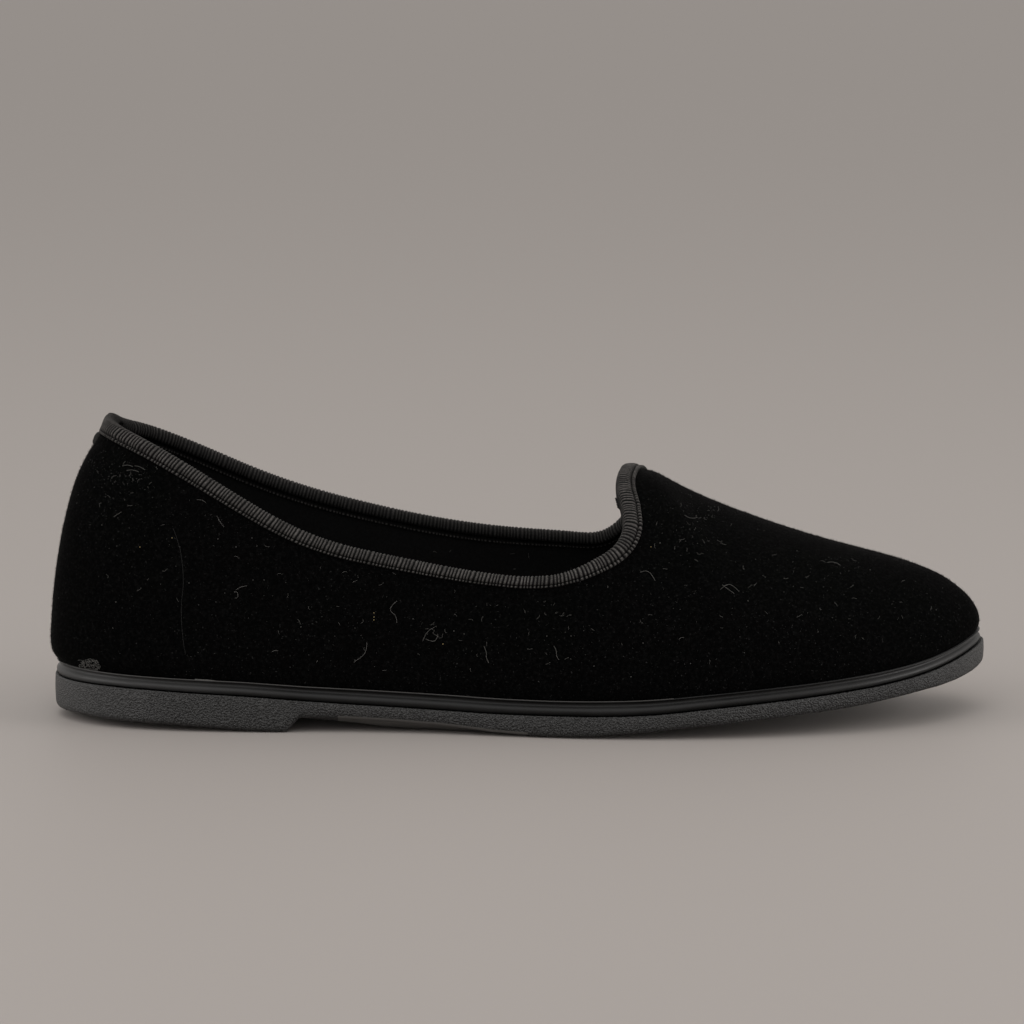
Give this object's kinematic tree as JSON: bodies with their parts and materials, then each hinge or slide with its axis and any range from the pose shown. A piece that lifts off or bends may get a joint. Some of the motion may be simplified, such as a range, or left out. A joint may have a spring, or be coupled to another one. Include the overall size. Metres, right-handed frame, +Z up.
{
  "type": "velvet slipper loafer",
  "caption": "Right slip-on shoe with a hollow velvet upper, a peaked tongue edge, a bound collar, a footbed and a moulded low-heeled rubber sole.",
  "frame": {"origin": "on the floor, at the middle of the heel's flat spot", "axes": "+X towards the toe, +Y towards the inner side of a right foot, +Z up"},
  "size_m": [0.2547, 0.0875, 0.0822],
  "materials": {
    "pebbled_rubber": "pebbled matt",
    "smooth_rubber": "satin",
    "lining": "matt",
    "velvet": "short pile",
    "ribbed_cloth": "ribbed"
  },
  "bodies": {
    "root": {"outsole": "pebbled_rubber", "midsole": "smooth_rubber", "insole": "lining", "upper": "velvet", "topline_binding": "ribbed_cloth"}
  },
  "joints": []
}
